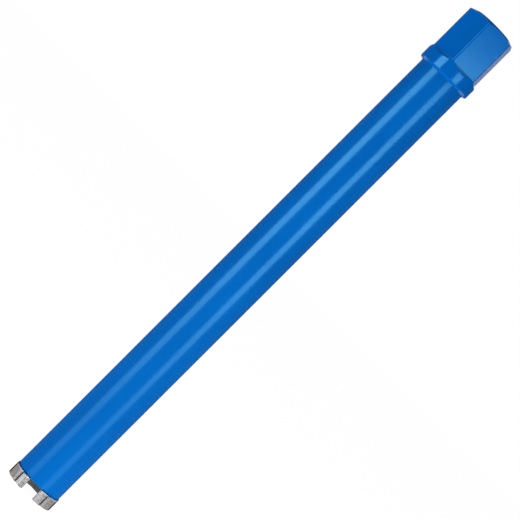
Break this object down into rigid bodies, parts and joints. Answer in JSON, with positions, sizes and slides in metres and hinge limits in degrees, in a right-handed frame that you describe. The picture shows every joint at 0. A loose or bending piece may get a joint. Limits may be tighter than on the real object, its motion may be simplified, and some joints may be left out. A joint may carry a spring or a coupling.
{
  "type": "diamond core bit",
  "caption": "Wet diamond core bit: a long blue painted steel tube with grooved abrasive segments on its rim and a hexagonal hub with an internal machine thread.",
  "frame": {"origin": "on the bit's axis, in the plane of the cutting faces", "axes": "+Z along the axis towards the hub; -Y faces the side that the picture shows, where one of the gaps between segments is"},
  "size_m": [0.0466, 0.0466, 0.4885],
  "materials": {
    "blue_paint": "gloss paint sprayed on drawn and turned steel",
    "segment": "sintered and ground metal bond with abrasive grit"
  },
  "bodies": {
    "root": {"barrel_tube": "blue_paint", "hub": "blue_paint", "hub_solder_ring": "blue_paint", "segment_1": "segment", "segment_2": "segment", "segment_3": "segment", "segment_solder_1": "blue_paint", "segment_solder_2": "blue_paint", "segment_solder_3": "blue_paint"}
  },
  "joints": []
}
